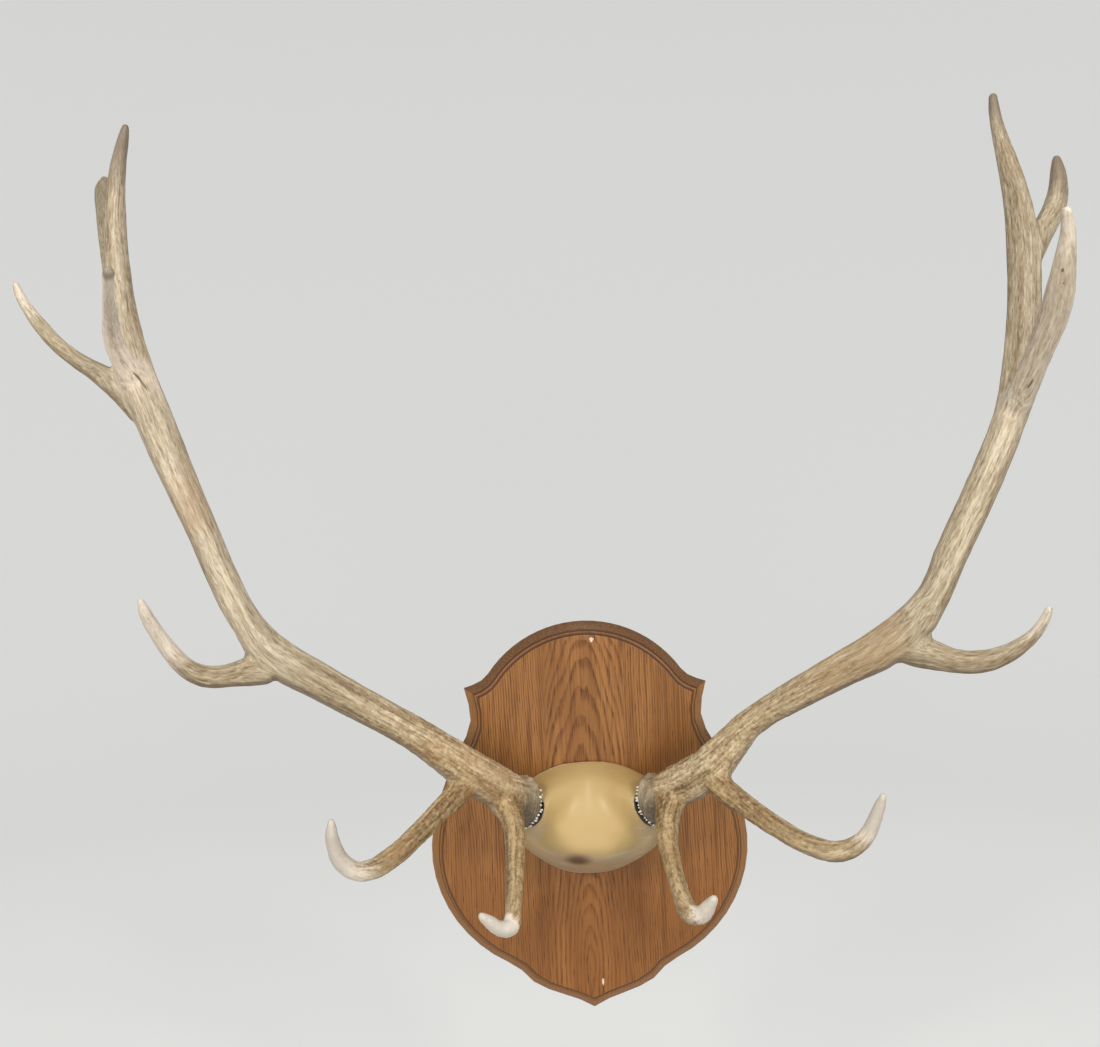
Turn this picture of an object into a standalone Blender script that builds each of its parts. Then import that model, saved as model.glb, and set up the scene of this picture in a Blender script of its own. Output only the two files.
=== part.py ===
"""Elk antler wall mount: an oak shield, a moulded skull-cap cover, and two antlers that are split at their forks.

Metres, +Z up. The origin is the centre of the shield's back face, which lies on the wall at Y = 0.
The front faces -Y. Left and right are as seen from the front.
"""

import math

import bmesh
import bpy
from mathutils import Vector
from mathutils.geometry import intersect_line_line_2d

MM = 0.001
GAP = 0.3 * MM
# A piece cuts its neighbour with a copy of itself that stands out this far, a little over the gap
CUTTER_SWELL = 1.3 * GAP
WELD = 0.01 * MM

# Shield, in its own plane: x from the middle and z from the centre
SHIELD_THICKNESS = 25 * MM
SHIELD_TOP = 256.5 * MM
SHIELD_POINT = -263.5 * MM
TOP_ARC_RADIUS = 159 * MM
NECK = (131 * MM, 187.5 * MM)
EAR = (163 * MM, 170.5 * MM)
WAIST = (162 * MM, 105.5 * MM)
BELLY = (213 * MM, -44 * MM)
HIP = (107.5 * MM, -203.5 * MM)
NOTCH = (78.5 * MM, -229.5 * MM)
# The two handles of the curve on each stretch of the outline, from the arc's end round to the point
FLARE_HANDLES = ((137 * MM, 179 * MM), (148 * MM, 175 * MM))
SCOOP_HANDLES = ((158 * MM, 152.5 * MM), (149 * MM, 124.5 * MM))
SHOULDER_HANDLES = ((174 * MM, 86.5 * MM), (212 * MM, 14 * MM))
BELLY_HANDLES = ((214 * MM, -118.5 * MM), (165 * MM, -179 * MM))
HOLLOW_HANDLES = ((95.5 * MM, -209 * MM), (90.5 * MM, -221.5 * MM))
LOBE_HANDLES = ((56.5 * MM, -244 * MM), (20 * MM, -249 * MM))
ARC_STEPS = 24
CURVE_STEPS = 12
# Each step of the moulded edge: how far in from the outline, and how far out from the back face
EDGE_STEPS = (
    (0.0, 0.0),
    (0.0, 5.0 * MM),
    (2.2 * MM, 8.8 * MM),
    (6.0 * MM, 11.6 * MM),
    (9.6 * MM, 15.6 * MM),
    (11.6 * MM, 17.0 * MM),
    (12.4 * MM, 20.4 * MM),
    (15.8 * MM, 20.8 * MM),
    (16.8 * MM, 24.0 * MM),
    (18.2 * MM, SHIELD_THICKNESS),
)
TOP_STEPS = 15
SIDE_STEPS = 25

# Skull-cap cover, a dome that rises from the shield's face to a blunt nose low down
COVER_HALF_WIDTH = 106 * MM
COVER_TOP = 73 * MM
COVER_TOP_AT_SIDES = 24 * MM
COVER_BOTTOM = -77 * MM
COVER_BOTTOM_AT_SIDES = -12 * MM
COVER_HEIGHT = 86 * MM
COVER_RIM = 3.5 * MM
# How far up the cover its nose is, as a share, and how roundly the dome rises below it and falls above it
NOSE_PLACE = 0.36
BELOW_NOSE_POWER = 1.6
ABOVE_NOSE_POWER = 0.7
# How the outline bends down and the dome falls away towards the sides, and how square its edges are
SIDE_BEND = 2.4
SIDE_POWER = 0.8
EDGE_SQUARENESS = 8
EDGE_POWER = 0.5
COVER_COLUMNS = 26
COVER_ROWS = 16
PEDICLE_RADIUS = 33 * MM
PEDICLE_SLOPE = 1.35
PEDICLE_BLEND = 16 * MM

# Burr, the knobbly ring where each antler meets the cover
BURR_RADIUS = 33 * MM
BURR_NECK_RADIUS = 27 * MM
BURR_HEIGHT = 11 * MM
BURR_KNOBS = 18
BURR_KNOB_DEPTH = 2.2 * MM
# Shares of the burr's height: where its knobs end, and where the beam starts inside it
BURR_SHOULDER = 0.45
BEAM_START = 0.25

# The way each antler leaves its burr, as x, out, z
BURR_AIMS = {"left": (-32, 32, 10), "right": (32, 30, 14)}

# Antler sections: sides round the shaft, and how far the lengthwise ridges stand from a plain circle
BEAM_SIDES = 12
TINE_SIDES = 10
RIDGE = 0.045
STEPS_A_SPAN = 2
# A tip's round end: for each added ring, how many radii past the route's last row it is, and its share of the width
ROUND_END = ((0.6, 0.8), (1.0, 0.25))

# Routes in millimetres: x, distance out from the shield's face, z, and the shaft's diameter there.
# The last row of each is the middle of its round end.
LEFT_BEAM = (
    (-83, 75, 40, 53),
    (-97, 88, 49, 53),
    (-114, 101, 64, 54),
    (-149, 130, 94, 52),
    (-202, 155, 140, 42),
    (-257, 178, 179, 41),
    (-312, 200, 217, 44),
    (-364, 216, 255, 46),
    (-383, 221, 284, 37),
    (-400, 222, 314, 36),
    (-431, 218, 388, 36),
    (-461, 210, 454, 40),
    (-488, 200, 515, 44),
    (-515, 185, 576, 44),
    (-534, 168, 644, 36),
    (-548, 148, 718, 31),
    (-556, 125, 799, 24),
    (-556, 113, 845, 20),
    (-552, 108, 873, 14),
    (-549, 104, 894, 7),
)
LEFT_TINES = {
    "left_brow_tine": (
        (-113, 100, 50, 38),
        (-100, 120, 38, 33),
        (-94, 150, 27, 27),
        (-92, 205, 4, 23),
        (-92, 255, -16, 20),
        (-93, 280, -28, 19),
        (-95, 292, -39, 20.5),
        (-106, 299, -38, 17),
        (-116, 304, -29, 14),
        (-124, 309, -21, 8),
    ),
    "left_bez_tine": (
        (-146, 130, 87, 34),
        (-164, 150, 66, 31),
        (-176, 170, 59, 27),
        (-211, 215, 32, 25),
        (-232, 240, 20, 25),
        (-257, 262, 15, 23),
        (-276, 275, 30, 21),
        (-282, 284, 50, 17),
        (-283, 291, 66, 11),
        (-282, 295, 79, 4.5),
    ),
    "left_trez_tine": (
        (-362, 217, 236, 39),
        (-383, 223, 233, 36),
        (-403, 229, 230, 28),
        (-430, 239, 231, 26),
        (-447, 249, 243, 22.5),
        (-459, 257, 260, 20.5),
        (-475, 270, 292, 16),
        (-480, 277, 308, 11),
        (-482, 281, 319, 5.5),
    ),
    "left_outer_tine": (
        (-505, 193, 530, 34),
        (-523, 191, 553, 36),
        (-546, 189, 572, 30),
        (-565, 188, 584, 23),
        (-601, 186, 610, 19),
        (-623, 182, 634, 18),
        (-641, 178, 657, 14.5),
        (-654, 174, 679, 8),
        (-658, 172, 689, 5),
    ),
    "left_royal_tine": (
        (-507, 188, 550, 32),
        (-513, 200, 572, 30),
        (-520, 235, 603, 23),
        (-504, 285, 627, 17),
        (-487, 332, 637, 13),
        (-470, 372, 652, 10),
    ),
    "left_crown_tine": (
        (-537, 165, 645, 30),
        (-559, 130, 713, 27),
        (-575, 100, 757, 26),
        (-591, 70, 803, 23),
        (-601, 50, 835, 19),
        (-601, 42, 850, 9),
    ),
}
RIGHT_BEAM = (
    (79, 75, 37, 53),
    (92, 87, 46, 53),
    (111, 100, 60, 55),
    (147, 130, 89, 52),
    (188, 150, 141, 36),
    (238, 172, 177, 38),
    (295, 195, 212, 43),
    (356, 215, 251, 50),
    (392, 220, 296, 37),
    (409, 220, 334, 38),
    (441, 213, 392, 39),
    (469, 205, 445, 39),
    (494, 195, 496, 39),
    (512, 180, 545, 42),
    (523, 168, 593, 41),
    (535, 150, 650, 41),
    (541, 135, 707, 40),
    (541, 125, 758, 34),
    (535, 115, 811, 26),
    (528, 107, 854, 18),
    (525, 103, 882, 11.5),
    (525, 100, 900, 7),
)
RIGHT_TINES = {
    "right_brow_tine": (
        (101, 100, 48, 38),
        (93, 125, 34, 33),
        (88, 155, 17, 28),
        (87, 185, 4, 23.5),
        (89, 235, -13, 21),
        (92, 263, -25, 21),
        (97, 282, -34, 23),
        (107, 291, -33.5, 20.5),
        (114.5, 298, -22.5, 16),
        (120, 304, -12.5, 9),
    ),
    "right_bez_tine": (
        (147, 130, 78, 34),
        (157, 155, 66, 32),
        (179, 180, 52, 27),
        (222, 230, 29, 24),
        (246, 252, 22, 24),
        (264, 268, 23, 24),
        (286, 280, 38, 20),
        (295, 290, 60, 16),
        (300, 298, 80, 10.5),
        (302, 303, 90, 6),
    ),
    "right_trez_tine": (
        (352, 214, 242, 44),
        (376, 218, 231, 40),
        (394, 226, 225, 33),
        (410, 236, 221, 28),
        (430, 246, 221, 27),
        (450, 257, 228, 23),
        (467, 267, 240, 18.5),
        (480, 277, 255, 13.5),
        (487, 285, 271, 9),
        (489, 290, 281, 6),
    ),
    "right_royal_tine": (
        (496, 195, 497, 36),
        (504, 235, 546, 30),
        (507, 258, 573, 30),
        (510, 283, 604, 29),
        (507, 305, 630, 23),
        (503, 325, 657, 15.5),
        (500, 336, 675, 10.5),
        (495, 345, 690, 6),
    ),
    "right_crown_tine": (
        (540, 145, 684, 34),
        (561, 130, 714, 32),
        (581, 115, 739, 29),
        (598, 100, 764, 28),
        (607, 90, 785, 25),
        (612, 80, 811, 17.5),
        (614, 73, 829, 8.5),
    ),
}


def clear_scene():
    for obj in list(bpy.data.objects):
        bpy.data.objects.remove(obj, do_unlink=True)


def new_collection(name):
    collection = bpy.data.collections.new(name)
    bpy.context.scene.collection.children.link(collection)
    return collection


def principled(name, colour, roughness, metallic=0.0):
    material = bpy.data.materials.new(name)
    material.use_nodes = True
    shader = material.node_tree.nodes["Principled BSDF"]
    shader.inputs["Base Color"].default_value = (*colour, 1.0)
    shader.inputs["Roughness"].default_value = roughness
    shader.inputs["Metallic"].default_value = metallic
    return material


def object_from_bmesh(name, bm, material, collection, smooth_angle=35):
    bmesh.ops.recalc_face_normals(bm, faces=bm.faces)
    mesh = bpy.data.meshes.new(name)
    bm.to_mesh(mesh)
    bm.free()
    mesh.shade_smooth()
    mesh.set_sharp_from_angle(angle=math.radians(smooth_angle))
    mesh.materials.append(material)
    obj = bpy.data.objects.new(name, mesh)
    collection.objects.link(obj)
    return obj


# Shield


def bezier(start, handles, end):
    """Points along a cubic curve, without its end."""
    ends = [Vector(point) for point in (start, *handles, end)]
    found = []
    for step in range(CURVE_STEPS):
        t = step / CURVE_STEPS
        weights = ((1 - t) ** 3, 3 * t * (1 - t) ** 2, 3 * t * t * (1 - t), t**3)
        found.append(sum((w * p for w, p in zip(weights, ends)), Vector((0, 0))))
    return found


def top_edge():
    """The right half of the shield's top: the arc, and the small flare out to the ear."""
    sweep = math.asin(NECK[0] / TOP_ARC_RADIUS)
    arc = []
    for step in range(ARC_STEPS):
        angle = sweep * step / ARC_STEPS
        drop = TOP_ARC_RADIUS * (1 - math.cos(angle))
        arc.append(Vector((TOP_ARC_RADIUS * math.sin(angle), SHIELD_TOP - drop)))
    flare = bezier(NECK, FLARE_HANDLES, EAR)
    return arc + flare + [Vector(EAR)]


def side_edge():
    """The right side from the ear's tip, down the scoop and the belly, to the point at the bottom."""
    point = Vector((0, SHIELD_POINT))
    scoop = bezier(EAR, SCOOP_HANDLES, WAIST)
    shoulder = bezier(WAIST, SHOULDER_HANDLES, BELLY)
    belly = bezier(BELLY, BELLY_HANDLES, HIP)
    hollow = bezier(HIP, HOLLOW_HANDLES, NOTCH)
    lobe = bezier(NOTCH, LOBE_HANDLES, point)
    return scoop + shoulder + belly + hollow + lobe + [point]


def moved_in(points, distance):
    """The edge moved towards the shield's middle, which is on its right-hand side as the edge runs."""
    moved = []
    for index, point in enumerate(points):
        before = points[max(index - 1, 0)]
        after = points[min(index + 1, len(points) - 1)]
        along = (after - before).normalized()
        moved.append(point + distance * Vector((along.y, -along.x)))
    return moved


def trimmed_where_they_meet(first, second):
    """Both edges cut back to the point where they cross."""
    for i in range(len(first) - 1, 0, -1):
        for j in range(len(second) - 1):
            meeting = intersect_line_line_2d(first[i - 1], first[i], second[j], second[j + 1])
            if meeting is not None:
                return first[:i] + [meeting], [meeting] + second[j + 1 :]
    return first, second


def trimmed_at_middle(points):
    """The edge cut off where it crosses the shield's middle line."""
    for index in range(1, len(points)):
        start, end = points[index - 1], points[index]
        if end.x <= 0 < start.x:
            share = start.x / (start.x - end.x)
            return points[:index] + [start.lerp(end, share)]
    return points


def evenly_spaced(points, steps):
    """The same edge with this many equal steps."""
    lengths = [0.0]
    for before, after in zip(points, points[1:]):
        lengths.append(lengths[-1] + (after - before).length)
    spaced = []
    index = 0
    for step in range(steps + 1):
        wanted = lengths[-1] * step / steps
        while index < len(points) - 2 and lengths[index + 1] < wanted:
            index += 1
        span = lengths[index + 1] - lengths[index]
        spaced.append(points[index].lerp(points[index + 1], (wanted - lengths[index]) / span))
    return spaced


def shield_ring(inset):
    """The whole outline, this far in from the edge, once round."""
    top, side = top_edge(), side_edge()
    if inset:
        top, side = trimmed_where_they_meet(moved_in(top, inset), moved_in(side, inset))
        side = trimmed_at_middle(side)
    half = evenly_spaced(top, TOP_STEPS) + evenly_spaced(side, SIDE_STEPS)[1:]
    half[0].x = half[-1].x = 0.0
    other = [Vector((-point.x, point.y)) for point in half[-2:0:-1]]
    return half + other


def make_shield(material, collection):
    bm = bmesh.new()
    rings = []
    for inset, out in EDGE_STEPS:
        rings.append([bm.verts.new((point.x, -out, point.y)) for point in shield_ring(inset)])
    for lower, upper in zip(rings, rings[1:]):
        for index in range(len(lower)):
            after = (index + 1) % len(lower)
            bm.faces.new((lower[index], lower[after], upper[after], upper[index]))
    bm.faces.new(rings[0])
    bm.faces.new(rings[-1])
    return object_from_bmesh("oak_shield", bm, material, collection)


# Skull-cap cover


def burr_frame(side, beam):
    """The middle of the burr and the direction in which the antler leaves it, both as x, out, z."""
    return Vector(beam[0][:3]) * MM, Vector(BURR_AIMS[side]).normalized()


def burr_plane_height(x, z, frame):
    """How far out from the shield's face the burr's own plane is, above this place."""
    middle, axis = frame
    return middle.y - (axis.x * (x - middle.x) + axis.z * (z - middle.z)) / axis.y


def pedicle_height(x, z, frame):
    """The bone that rises to the burr: level with the burr's plane within its ring, and sloping away outside it."""
    middle, axis = frame
    on_plane = Vector((x, burr_plane_height(x, z, frame), z))
    away = (on_plane - middle).length
    return on_plane.y + PEDICLE_SLOPE * min(0.0, PEDICLE_RADIUS - away)


def dome_height(across, up):
    """The plain dome, from -1 to 1 across and 0 to 1 up."""
    if up < NOSE_PLACE:
        rise = 1 - (1 - up / NOSE_PLACE) ** BELOW_NOSE_POWER
    else:
        rise = (1 - ((up - NOSE_PLACE) / (1 - NOSE_PLACE)) ** 2) ** ABOVE_NOSE_POWER
    return COVER_HEIGHT * rise * (1 - abs(across) ** SIDE_BEND) ** SIDE_POWER


def cover_height(x, z, across, up, frames):
    pedicles = max(pedicle_height(x, z, frame) for frame in frames)
    dome = dome_height(across, up)
    blended = (dome + pedicles + math.hypot(dome - pedicles, PEDICLE_BLEND)) / 2
    under_burrs = min(burr_plane_height(x, z, frame) - GAP for frame in frames)
    from_side = 1 - abs(across) ** EDGE_SQUARENESS
    from_ends = 1 - abs(2 * up - 1) ** EDGE_SQUARENESS
    edge = (from_side * from_ends) ** EDGE_POWER
    return COVER_RIM + max(0.0, min(blended, under_burrs) - COVER_RIM) * edge


def make_cover(frames, material, collection):
    bm = bmesh.new()
    bmesh.ops.create_grid(bm, x_segments=COVER_COLUMNS, y_segments=COVER_ROWS, size=1.0)
    front = list(bm.faces)
    back = bmesh.ops.extrude_face_region(bm, geom=front, use_keep_orig=True)["geom"]
    back = {item for item in back if isinstance(item, bmesh.types.BMVert)}
    for vert in bm.verts:
        across, up = vert.co.x, (vert.co.y + 1) / 2
        x = across * COVER_HALF_WIDTH
        bend = abs(across) ** SIDE_BEND
        top = COVER_TOP + (COVER_TOP_AT_SIDES - COVER_TOP) * bend
        bottom = COVER_BOTTOM + (COVER_BOTTOM_AT_SIDES - COVER_BOTTOM) * bend
        z = bottom + (top - bottom) * up
        out = GAP if vert in back else cover_height(x, z, across, up, frames)
        vert.co = (x, -(SHIELD_THICKNESS + out), z)
    return object_from_bmesh("skull_cap_cover", bm, material, collection, smooth_angle=50)


# Antlers


def section_profile(name, sides, collection):
    """A closed ring of unit size with a low ridge at every other corner. Shafts are scaled from it."""
    curve = bpy.data.curves.new(name, "CURVE")
    curve.dimensions = "2D"
    spline = curve.splines.new("POLY")
    spline.points.add(sides - 1)
    spline.use_cyclic_u = True
    for index, point in enumerate(spline.points):
        angle = math.tau * index / sides
        reach = 1 + RIDGE * ((-1) ** index - 0.5)
        point.co = (reach * math.cos(angle), reach * math.sin(angle), 0, 1)
    guide = bpy.data.objects.new(name, curve)
    guide.hide_render = True
    guide.display_type = "WIRE"
    collection.objects.link(guide)
    return guide


def rounded_off(route):
    """The route with its tip's round end added."""
    last = Vector(route[-1][:3])
    onward = (last - Vector(route[-2][:3])).normalized()
    radius = route[-1][3] / 2
    return route + tuple((*(last + onward * radius * reach), 2 * radius * width) for reach, width in ROUND_END)


def shaft_mesh(name, route, profile):
    """A closed mesh that follows the route and keeps its diameters."""
    route = rounded_off(route)
    curve = bpy.data.curves.new(name + "_route", "CURVE")
    curve.dimensions = "3D"
    curve.resolution_u = STEPS_A_SPAN
    curve.bevel_mode = "OBJECT"
    curve.bevel_object = profile
    curve.use_fill_caps = True
    spline = curve.splines.new("BEZIER")
    spline.radius_interpolation = "CARDINAL"
    spline.bezier_points.add(len(route) - 1)
    for point, (x, out, z, diameter) in zip(spline.bezier_points, route):
        point.co = (x * MM, -(SHIELD_THICKNESS + out * MM), z * MM)
        point.radius = diameter * MM / 2
        point.handle_left_type = point.handle_right_type = "AUTO"
    guide = bpy.data.objects.new(name + "_route", curve)
    bpy.context.scene.collection.objects.link(guide)
    graph = bpy.context.evaluated_depsgraph_get()
    mesh = bpy.data.meshes.new_from_object(guide.evaluated_get(graph))
    bpy.data.objects.remove(guide, do_unlink=True)
    bm = bmesh.new()
    bm.from_mesh(mesh)
    bpy.data.meshes.remove(mesh)
    bmesh.ops.remove_doubles(bm, verts=bm.verts, dist=WELD)
    return bm


def add_burr(beam, frame, name, material, cutters):
    """A knobbly ring fused to the foot of the beam."""
    middle, axis = frame
    middle = Vector((middle.x, -(SHIELD_THICKNESS + middle.y), middle.z))
    axis = Vector((axis.x, -axis.y, axis.z))
    bm = bmesh.new()
    bmesh.ops.create_cone(
        bm,
        cap_ends=True,
        segments=2 * BURR_KNOBS,
        radius1=BURR_RADIUS,
        radius2=BURR_NECK_RADIUS,
        depth=BURR_HEIGHT,
    )
    bmesh.ops.translate(bm, verts=bm.verts, vec=(0, 0, BURR_HEIGHT / 2))
    rim = [vert for vert in bm.verts if vert.co.z < BURR_HEIGHT / 2]
    raised = bmesh.ops.bisect_plane(
        bm,
        geom=bm.verts[:] + bm.edges[:] + bm.faces[:],
        plane_co=(0, 0, BURR_HEIGHT * BURR_SHOULDER),
        plane_no=(0, 0, 1),
    )["geom_cut"]
    rim += [item for item in raised if isinstance(item, bmesh.types.BMVert)]
    for vert in rim:
        turn = round(math.atan2(vert.co.y, vert.co.x) / math.tau * 2 * BURR_KNOBS)
        away = Vector((vert.co.x, vert.co.y, 0)).normalized()
        reach = BURR_RADIUS + BURR_KNOB_DEPTH / (2 if turn % 2 else -2)
        vert.co = away * reach + Vector((0, 0, vert.co.z))
    turned = axis.to_track_quat("Z", "Y").to_matrix().to_4x4()
    turned.translation = middle
    bmesh.ops.transform(bm, matrix=turned, verts=bm.verts)
    ring = object_from_bmesh(name + "_burr", bm, material, cutters)
    ring.hide_render = True
    ring.display_type = "WIRE"
    joined = beam.modifiers.new("burr", "BOOLEAN")
    joined.operation = "UNION"
    joined.object = ring


def swollen_copy(obj, name, collection):
    """The object's finished shape, swollen by the gap that neighbours keep, for cutting them with."""
    graph = bpy.context.evaluated_depsgraph_get()
    bm = bmesh.new()
    bm.from_object(obj, graph)
    bmesh.ops.remove_doubles(bm, verts=bm.verts, dist=WELD)
    bm.normal_update()
    for vert in bm.verts:
        vert.co += vert.normal * CUTTER_SWELL
    mesh = bpy.data.meshes.new(name)
    bm.to_mesh(mesh)
    bm.free()
    cutter = bpy.data.objects.new(name, mesh)
    cutter.hide_render = True
    cutter.display_type = "WIRE"
    collection.objects.link(cutter)
    return cutter


def make_antler(side, beam_route, tine_routes, materials, collection, cutters):
    beam_profile = section_profile(side + "_beam_section", BEAM_SIDES, cutters)
    tine_profile = section_profile(side + "_tine_section", TINE_SIDES, cutters)
    beam_name = side + "_main_beam"
    frame = burr_frame(side, beam_route)
    foot = frame[0] + frame[1] * BURR_HEIGHT * BEAM_START
    started = ((*(foot / MM), beam_route[0][3]),) + beam_route[1:]
    bm = shaft_mesh(beam_name, started, beam_profile)
    beam = object_from_bmesh(beam_name, bm, materials["beam"], collection)
    add_burr(beam, frame, beam_name, materials["beam"], cutters)
    bpy.context.view_layer.update()
    earlier = [swollen_copy(beam, beam_name + "_cutter", cutters)]
    for name, route in tine_routes.items():
        bm = shaft_mesh(name, route, tine_profile)
        pale = any(word in name for word in ("royal", "outer"))
        tine = object_from_bmesh(name, bm, materials["pale_tine" if pale else "tine"], collection)
        for cutter in earlier:
            cut = tine.modifiers.new(cutter.name, "BOOLEAN")
            cut.operation = "DIFFERENCE"
            cut.object = cutter
        bpy.context.view_layer.update()
        earlier.append(swollen_copy(tine, name + "_cutter", cutters))


def main():
    clear_scene()
    mount = new_collection("antler_mount")
    cutters = new_collection("cutters")
    oak = principled("oak", (0.38, 0.155, 0.052), 0.38)
    cover_skin = principled("skull_cap_cover", (0.62, 0.47, 0.24), 0.32)
    antler = {
        "beam": principled("antler_beam", (0.33, 0.25, 0.15), 0.55),
        "tine": principled("antler_tine", (0.42, 0.33, 0.2), 0.5),
        "pale_tine": principled("antler_pale_tine", (0.55, 0.46, 0.36), 0.5),
    }
    frames = [burr_frame("left", LEFT_BEAM), burr_frame("right", RIGHT_BEAM)]
    make_shield(oak, mount)
    make_cover(frames, cover_skin, mount)
    make_antler("left", LEFT_BEAM, LEFT_TINES, antler, mount, cutters)
    make_antler("right", RIGHT_BEAM, RIGHT_TINES, antler, mount, cutters)


main()
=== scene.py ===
"""The looks of the elk antler mount: two antlers, an oak shield and a glossy skull-cap cover.

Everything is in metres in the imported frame: +Z up, the wall at Y = 0, and the front facing -Y.
Left and right are as seen from the front.
"""

import heapq
import math
import random

import bmesh
import bpy
import numpy as np
from mathutils import Matrix, Vector, noise


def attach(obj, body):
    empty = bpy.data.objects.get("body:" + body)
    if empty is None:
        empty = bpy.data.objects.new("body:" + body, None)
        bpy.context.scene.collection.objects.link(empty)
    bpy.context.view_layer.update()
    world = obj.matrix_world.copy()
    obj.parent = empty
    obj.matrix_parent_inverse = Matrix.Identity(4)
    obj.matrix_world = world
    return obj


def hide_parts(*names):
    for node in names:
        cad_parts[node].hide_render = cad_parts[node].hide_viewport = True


MM = 0.001
WELD = 0.01 * MM

# Camera: where the photograph was taken from, level and turned a little about its own line of sight
CAMERA_X = -0.040
CAMERA_HEIGHT = 0.389
CAMERA_DISTANCE = 1.488
CAMERA_ROLL = 0.0312
LENS = 36
SENSOR = 36

# Studio
FLOOR_HEIGHT = -0.62
BOWL_FLOOR_RADIUS = 3.0
BOWL_BEND = 1.6
BOWL_TOP = 4.2
BEND_STEPS = 12
BOWL_STEPS = 96
BACKDROP_GREY = (0.5, 0.5, 0.49)
BACKDROP_LIGHT = (1, 1, 0.97)
BACKDROP_GLOW = 0.42
WORLD_COLOUR = (0.93, 0.96, 1.0)
WORLD_STRENGTH = 0.36
SIDE_WARMTH = (1, 0.97, 0.92)

# Antler skin
SIDES = ("left", "right")
TINES = {
    "left": ("brow", "bez", "trez", "outer", "royal", "crown"),
    "right": ("brow", "bez", "trez", "royal", "crown"),
}
VOXEL = 1.8 * MM
FACET_ROUNDS = 36
TIP_ROUNDS = 5
# Between these two distances from a tip, the gentle smoothing gives way to the full one
TIP_REACH = (12 * MM, 45 * MM)
FORK_REACH = 42 * MM
FORK_ROUNDS = 320
# A fork's smoothing is kept where it moves the skin out: not at all at the first, fully at the second
FILL_KEPT = (-0.2 * MM, 0.6 * MM)
SETTLE_ROUNDS = 4
BURR_RADIUS = 33 * MM
BURR_CENTRES = {"left": Vector((-0.083, -0.100, 0.040)), "right": Vector((0.079, -0.100, 0.037))}
BURR_AIMS = {"left": Vector((-32, -32, 10)).normalized(), "right": Vector((32, -30, 14)).normalized()}
FOOT_FADE = 430 * MM

# Coloured ends of the shafts: how strong, how far from the tip the colour holds, and where it has faded out
IVORY_ENDS = {
    "left_brow_tine": (1.0, 30 * MM, 47 * MM),
    "left_bez_tine": (0.95, 30 * MM, 120 * MM),
    "left_trez_tine": (0.7, 40 * MM, 125 * MM),
    "left_outer_tine": (0.42, 15 * MM, 90 * MM),
    "right_brow_tine": (0.95, 12 * MM, 44 * MM),
    "right_bez_tine": (0.9, 30 * MM, 80 * MM),
    "right_trez_tine": (0.55, 10 * MM, 70 * MM),
    "right_royal_tine": (0.5, 10 * MM, 70 * MM),
}
DARK_ENDS = {
    "left_main_beam": (0.85, 20 * MM, 110 * MM),
    "left_royal_tine": (0.75, 4 * MM, 16 * MM),
    "left_crown_tine": (0.5, 40 * MM, 150 * MM),
    "right_main_beam": (0.85, 12 * MM, 75 * MM),
    "right_crown_tine": (0.75, 15 * MM, 100 * MM),
}
# How far the skin stands out near the tips, which are blunter than the solids, and the same two distances
BLUNT_ENDS = {
    "left_main_beam": (1.2 * MM, 5 * MM, 50 * MM),
    "left_brow_tine": (0.8 * MM, 5 * MM, 30 * MM),
    "left_bez_tine": (2.0 * MM, 4 * MM, 40 * MM),
    "left_trez_tine": (1.2 * MM, 5 * MM, 50 * MM),
    "left_outer_tine": (1.6 * MM, 5 * MM, 50 * MM),
    "left_royal_tine": (1.0 * MM, 5 * MM, 50 * MM),
    "left_crown_tine": (1.2 * MM, 5 * MM, 50 * MM),
    "right_main_beam": (1.8 * MM, 5 * MM, 60 * MM),
    "right_brow_tine": (0.8 * MM, 5 * MM, 30 * MM),
    "right_bez_tine": (1.2 * MM, 5 * MM, 50 * MM),
    "right_trez_tine": (1.2 * MM, 5 * MM, 50 * MM),
    "right_royal_tine": (2.6 * MM, 70 * MM, 200 * MM),
    "right_crown_tine": (1.2 * MM, 5 * MM, 50 * MM),
}
# Shafts that are paler and pinker: how much, how much on the beam below, and the way it runs there
PALE_SHAFTS = {
    "left_royal_tine": (0.9, 0.7, (0.085, 0.0, -0.2)),
    "right_royal_tine": (0.45, 0.25, (-0.025, 0.0, -0.07)),
}
# How much of the same tone each beam has past its foot
PALE_BEAMS = {"left": 0.12, "right": 0.0}
# Small dark marks in the skin: the middle, the half lengths along x, y and z, and the lean about Y
SKIN_MARKS = (
    ((-0.5009, -0.2342, 0.5659), (1.6 * MM, 18 * MM, 17 * MM), 0.59),
    ((0.4992, -0.264, 0.5274), (1.7 * MM, 16 * MM, 6.5 * MM), -0.35),
    ((0.4998, -0.343, 0.6351), (1.5 * MM, 14 * MM, 2.6 * MM), 0.3),
    ((0.5032, -0.332, 0.6230), (1.0 * MM, 14 * MM, 2.0 * MM), 0.0),
)


# Small helpers for working by hand with the operators


def pick_only(*objects):
    """Selects these objects alone, and makes the first one active."""
    bpy.ops.object.select_all(action="DESELECT")
    for obj in objects:
        obj.select_set(True)
    bpy.context.view_layer.objects.active = objects[0]


def newest(name):
    obj = bpy.context.object
    obj.name = name
    obj.data.name = name
    return obj


def apply_modifier(obj, kind, **settings):
    modifier = obj.modifiers.new(kind.lower(), kind)
    for key, value in settings.items():
        setattr(modifier, key, value)
    pick_only(obj)
    bpy.ops.object.modifier_apply(modifier=modifier.name)


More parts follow.
